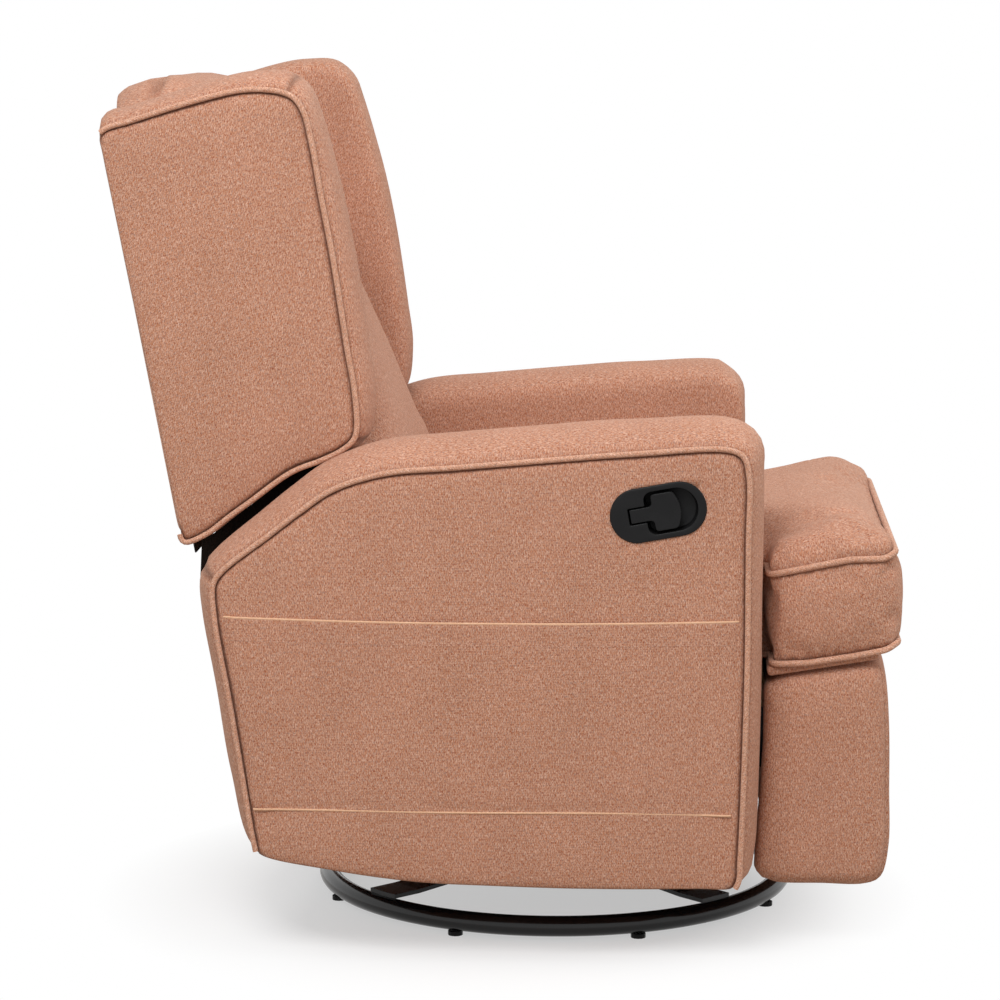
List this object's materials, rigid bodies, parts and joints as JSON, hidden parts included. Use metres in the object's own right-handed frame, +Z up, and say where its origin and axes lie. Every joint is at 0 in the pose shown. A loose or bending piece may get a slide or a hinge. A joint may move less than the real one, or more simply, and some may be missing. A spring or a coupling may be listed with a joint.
{
  "type": "swivel glider recliner",
  "caption": "Upholstered wing-back recliner that swivels and glides on a round steel floor ring, with a reclining back, a fold-out footrest, a pull lever and a side pocket.",
  "frame": {"origin": "on the floor, under the middle of the chair's length and width at rest", "axes": "+X the way the sitter faces, +Y the sitter's left, +Z up"},
  "size_m": [0.9521, 0.7955, 1.035],
  "materials": {
    "fabric": "woven, heathered peach",
    "black_steel": "gloss black",
    "mechanism_steel": "satin dark grey",
    "zinc": "zinc plated",
    "black_plastic": "satin black",
    "timber": "raw plywood"
  },
  "bodies": {
    "base": {"base_ring": "black_steel", "floor_glide_1": "black_plastic", "floor_glide_2": "black_plastic", "floor_glide_3": "black_plastic", "floor_glide_4": "black_plastic", "floor_glide_5": "black_plastic", "floor_glide_6": "black_plastic", "floor_glide_7": "black_plastic", "floor_glide_8": "black_plastic", "base_cross": "black_steel", "lower_race": "zinc"},
    "swivel_deck": {"upper_race": "zinc", "swivel_deck_frame": "black_steel"},
    "glide_links_front": {"glide_link_front_left": "zinc", "glide_link_front_right": "zinc"},
    "glide_links_rear": {"glide_link_rear_left": "zinc", "glide_link_rear_right": "zinc"},
    "seat_carriage": {"glide_shoe_left": "mechanism_steel", "glide_shoe_right": "mechanism_steel", "side_plate_left": "mechanism_steel", "side_plate_right": "mechanism_steel", "cross_tube_front": "black_steel", "cross_tube_rear": "black_steel", "seat_frame": "timber", "seat_spring_1": "zinc", "seat_spring_2": "zinc", "seat_spring_3": "zinc", "seat_spring_4": "zinc", "seat_cushion": "fabric", "seat_nose": "fabric", "arm_cover_left": "fabric", "arm_cover_right": "fabric", "arm_frame_left": "timber", "arm_frame_right": "timber", "side_pocket": "fabric", "handle_bezel": "black_plastic", "release_cable": "black_plastic", "lower_rear_panel": "fabric"},
    "footrest_main_links": {"footrest_main_link_left": "mechanism_steel", "footrest_main_link_right": "mechanism_steel", "torque_tube": "black_steel"},
    "footrest_followers": {"footrest_follower_link_left": "mechanism_steel", "footrest_follower_link_right": "mechanism_steel"},
    "footrest_carriers": {"footrest_carrier_left": "mechanism_steel", "footrest_carrier_right": "mechanism_steel"},
    "footrest_steering_links": {"footrest_steering_link_left": "mechanism_steel", "footrest_steering_link_right": "mechanism_steel"},
    "release_lever": {"release_lever": "black_plastic"},
    "latch_pawl": {"latch_pawl": "zinc"},
    "backrest": {"back_frame": "timber", "back_bracket_left": "mechanism_steel", "back_bracket_right": "mechanism_steel", "wing_left": "fabric", "wing_right": "fabric", "back_cushion": "fabric", "rear_cover": "fabric"},
    "footrest": {"footrest_pad": "fabric", "footrest_board": "timber", "footrest_bracket_left": "mechanism_steel", "footrest_bracket_right": "mechanism_steel"}
  },
  "joints": [
    {"name": "swivel", "type": "hinge", "parent": "base", "child": "swivel_deck", "pos_m": [0.06, 0, 0.06], "axis": [0, 0, 1], "continuous": true},
    {"name": "glide", "type": "hinge", "parent": "swivel_deck", "child": "glide_links_front", "pos_m": [0.11, 0, 0.212], "axis": [0, -1, 0], "range_deg": [-20, 20]},
    {"name": "glide_rear", "type": "hinge", "parent": "swivel_deck", "child": "glide_links_rear", "pos_m": [-0.07, 0, 0.212], "axis": [0, -1, 0], "range_deg": [-20, 20]},
    {"name": "carriage_level", "type": "hinge", "parent": "glide_links_front", "child": "seat_carriage", "pos_m": [0.11, 0, 0.102], "axis": [0, -1, 0], "range_deg": [-20, 20]},
    {"name": "recline", "type": "hinge", "parent": "seat_carriage", "child": "backrest", "pos_m": [-0.19, 0, 0.32], "axis": [0, -1, 0], "range_deg": [0, 30]},
    {"name": "footrest_fold", "type": "hinge", "parent": "seat_carriage", "child": "footrest_main_links", "pos_m": [0.24, 0, 0.312], "axis": [0, -1, 0], "range_deg": [0, 90]},
    {"name": "footrest_follow", "type": "hinge", "parent": "seat_carriage", "child": "footrest_followers", "pos_m": [0.195, 0, 0.312], "axis": [0, -1, 0], "range_deg": [0, 90]},
    {"name": "footrest_carry", "type": "hinge", "parent": "footrest_main_links", "child": "footrest_carriers", "pos_m": [0.08252, 0, 0.12432], "axis": [0, -1, 0], "range_deg": [-90, 0]},
    {"name": "footrest_steer", "type": "hinge", "parent": "footrest_main_links", "child": "footrest_steering_links", "pos_m": [0.11144, 0, 0.15879], "axis": [0, -1, 0], "range_deg": [-90, 0]},
    {"name": "footrest_turn", "type": "hinge", "parent": "footrest_carriers", "child": "footrest", "pos_m": [0.28202, 0, 0.24002], "axis": [0, -1, 0], "range_deg": [0, 90]},
    {"name": "lever_pull", "type": "hinge", "parent": "seat_carriage", "child": "release_lever", "pos_m": [0.1625, -0.3928, 0.53303], "axis": [0.1822, 0, -0.9833], "range_deg": [0, 28], "stiffness_Nm_per_rad": 0.2},
    {"name": "latch_release", "type": "hinge", "parent": "seat_carriage", "child": "latch_pawl", "pos_m": [0.07, 0, 0.277], "axis": [0, 1, 0], "range_deg": [0, 10]}
  ],
  "couplings": [
    {"joint": "glide_rear", "follows": "glide", "ratio": 1},
    {"joint": "carriage_level", "follows": "glide", "ratio": -1},
    {"joint": "footrest_follow", "follows": "footrest_fold", "ratio": 1},
    {"joint": "footrest_carry", "follows": "footrest_fold", "ratio": -1},
    {"joint": "footrest_steer", "follows": "footrest_fold", "ratio": -1},
    {"joint": "footrest_turn", "follows": "footrest_fold", "ratio": 1},
    {"joint": "latch_release", "follows": "lever_pull", "ratio": 0.35}
  ]
}
